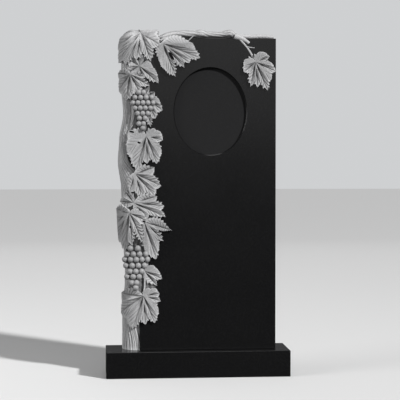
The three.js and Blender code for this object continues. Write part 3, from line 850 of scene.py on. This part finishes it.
def drop_sealed_gaps(stone):
    """Keeps the outer surface of a stone, and drops the slivers sealed inside it where carvings met."""
    lowest = min(stone.data.vertices, key=lambda vertex: vertex.co.z).index
    only(stone)
    bpy.ops.object.mode_set(mode="EDIT")
    bpy.ops.mesh.select_mode(type="VERT")
    bpy.ops.mesh.select_all(action="DESELECT")
    bpy.ops.object.mode_set(mode="OBJECT")
    stone.data.vertices[lowest].select = True
    bpy.ops.object.mode_set(mode="EDIT")
    bpy.ops.mesh.select_linked()
    bpy.ops.mesh.select_all(action="INVERT")
    bpy.ops.mesh.delete(type="VERT")
    bpy.ops.object.mode_set(mode="OBJECT")


drop_sealed_gaps(stele)
only(stele)
bpy.ops.object.shade_smooth_by_angle(angle=CARVED_CREASE)
bpy.ops.object.mode_set(mode="EDIT")
bpy.ops.mesh.select_mode(type="FACE")
bpy.ops.mesh.select_all(action="DESELECT")
stele.active_material_index = stele.data.materials.find(POLISHED.name)
bpy.ops.object.material_slot_select()
bpy.ops.mesh.faces_shade_flat()
bpy.ops.mesh.region_to_loop()
bpy.ops.mesh.mark_sharp()
bpy.ops.object.mode_set(mode="OBJECT")


def mark_hollows_for_painted_shade(stone):
    """Marks how far each point lies in a cut line (above nought) or on a crest (below nought), as the mask
    for the painted shade and highlight of the carved finishes.
    """
    mesh = stone.data
    places = np.empty(len(mesh.vertices) * 3)
    mesh.vertices.foreach_get("co", places)
    places = places.reshape(-1, 3)
    normals = np.empty(len(mesh.vertices) * 3)
    mesh.vertices.foreach_get("normal", normals)
    normals = normals.reshape(-1, 3)
    ends = np.empty(len(mesh.edges) * 2, int)
    mesh.edges.foreach_get("vertices", ends)
    near, far = ends.reshape(-1, 2).T
    way = places[far] - places[near]
    way /= np.maximum(np.linalg.norm(way, axis=1, keepdims=True), 1e-9)
    count = np.bincount(ends, minlength=len(places))
    hollow = np.bincount(near, (way * normals[near]).sum(axis=1), len(places))
    hollow -= np.bincount(far, (way * normals[far]).sum(axis=1), len(places))
    hollow /= count
    for _ in range(HOLLOW_SPREADS):
        beside = np.bincount(near, hollow[far], len(places)) + np.bincount(far, hollow[near], len(places))
        hollow = 0.5 * hollow + 0.5 * beside / count
    mesh.attributes.new("hollow", "FLOAT", "POINT").data.foreach_set("value", hollow)


mark_hollows_for_painted_shade(stele)
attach(stele, "root")
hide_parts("stele")

# Floor
# A plain studio floor with a matt finish, no part of the object. It is pale to the camera and dark in the
# polish of the stone, so that the stone stays black.
FLOOR_SIZE = 60.0
bpy.ops.object.select_all(action="DESELECT")
bpy.ops.mesh.primitive_plane_add(size=FLOOR_SIZE)
floor = bpy.context.object
floor.name = "floor"
floor_paint = bpy.data.materials.new("floor_paint")
floor_paint.use_nodes = True
nodes = floor_paint.node_tree.nodes
wire = floor_paint.node_tree.links.new
nodes["Principled BSDF"].inputs["Roughness"].default_value = 0.9
floor_tone = nodes.new("ShaderNodeMix")
floor_tone.data_type = "RGBA"
floor_tone.inputs["A"].default_value = (0.05, 0.05, 0.05, 1.0)
floor_tone.inputs["B"].default_value = (0.55, 0.55, 0.55, 1.0)
seen = nodes.new("ShaderNodeLightPath")
wire(seen.outputs["Is Camera Ray"], floor_tone.inputs["Factor"])
wire(floor_tone.outputs["Result"], nodes["Principled BSDF"].inputs["Base Color"])
floor.data.materials.append(floor_paint)

# Studio light
# A key shines from the upper right in front, and soft panels in front, to the left, behind and above draw
# the polished faces and the eased edges. The surround is even, pale to the camera and dim in the polish.
KEY_STRENGTH = 5.2
KEY_SPREAD = math.radians(4)
KEY_RISE = math.radians(33)
KEY_RIGHT = math.radians(44)
# Panels as (name, point aimed at, degrees right of the front, degrees above level, distance, width, height,
# power)
PANELS = (
    ("front_panel", (0.0, 0.0, 2.7), 0, 0, 8.0, 9.0, 3.2, 140.0),
    ("left_panel", (0.0, 0.0, 0.7), -72, 15, 6.0, 3.0, 3.0, 220.0),
    ("back_panel", (0.0, 0.0, 3.8), 180, 0, 8.0, 9.0, 2.4, 60.0),
    ("top_panel", (0.0, 0.0, 1.0), 0, 90, 4.5, 2.4, 2.4, 60.0),
)


def soft_panel(name, aim, degrees_right, degrees_up, distance, width, height, power):
    """Rectangular lamp that shines on a point and isn't seen itself."""
    azimuth = math.radians(degrees_right)
    rise = math.radians(degrees_up)
    lamp = bpy.data.lights.new(name, "AREA")
    lamp.shape = "RECTANGLE"
    lamp.size = width
    lamp.size_y = height
    lamp.energy = power
    holder = bpy.data.objects.new(name, lamp)
    away = (math.sin(azimuth) * math.cos(rise), -math.cos(azimuth) * math.cos(rise), math.sin(rise))
    holder.location = [at + distance * way for at, way in zip(aim, away)]
    holder.rotation_euler = (math.pi / 2 - rise, 0.0, azimuth)
    holder.visible_camera = False
    bpy.context.collection.objects.link(holder)


key = bpy.data.lights.new("key", "SUN")
key.energy = KEY_STRENGTH
key.angle = KEY_SPREAD
key_holder = bpy.data.objects.new("key", key)
key_holder.rotation_euler = (math.pi / 2 - KEY_RISE, 0.0, KEY_RIGHT)
bpy.context.collection.objects.link(key_holder)
for panel in PANELS:
    soft_panel(*panel)
world = bpy.data.worlds.new("studio")
world.use_nodes = True
nodes = world.node_tree.nodes
wire = world.node_tree.links.new
surround = nodes["Background"]
surround.inputs["Color"].default_value = (0.75, 0.76, 0.78, 1.0)
surround.inputs["Strength"].default_value = 0.1
backdrop = nodes.new("ShaderNodeBackground")
backdrop.inputs["Color"].default_value = (0.62, 0.63, 0.64, 1.0)
backdrop.inputs["Strength"].default_value = 1.0
seen = nodes.new("ShaderNodeLightPath")
either = nodes.new("ShaderNodeMixShader")
wire(seen.outputs["Is Camera Ray"], either.inputs["Fac"])
wire(surround.outputs["Background"], either.inputs[1])
wire(backdrop.outputs["Background"], either.inputs[2])
wire(either.outputs["Shader"], nodes["World Output"].inputs["Surface"])
bpy.context.scene.world = world
bpy.context.scene.view_settings.view_transform = "Standard"

# Camera
# A long lens in front of the stone, a little to its left and above its middle, looking a little down, as in
# the photograph.
CAMERA_PLACE = (-0.404, -4.854, 0.828)
CAMERA_TURN = math.radians(-4.9)
CAMERA_PITCH = math.radians(-1.85)
CAMERA_SENSOR = 36.0
CAMERA_LENS = 114.03
camera_data = bpy.data.cameras.new("camera")
camera_data.sensor_width = CAMERA_SENSOR
camera_data.lens = CAMERA_LENS
camera = bpy.data.objects.new("camera", camera_data)
camera.location = CAMERA_PLACE
camera.rotation_euler = (math.pi / 2 + CAMERA_PITCH, 0.0, CAMERA_TURN)
bpy.context.collection.objects.link(camera)
bpy.context.scene.camera = camera
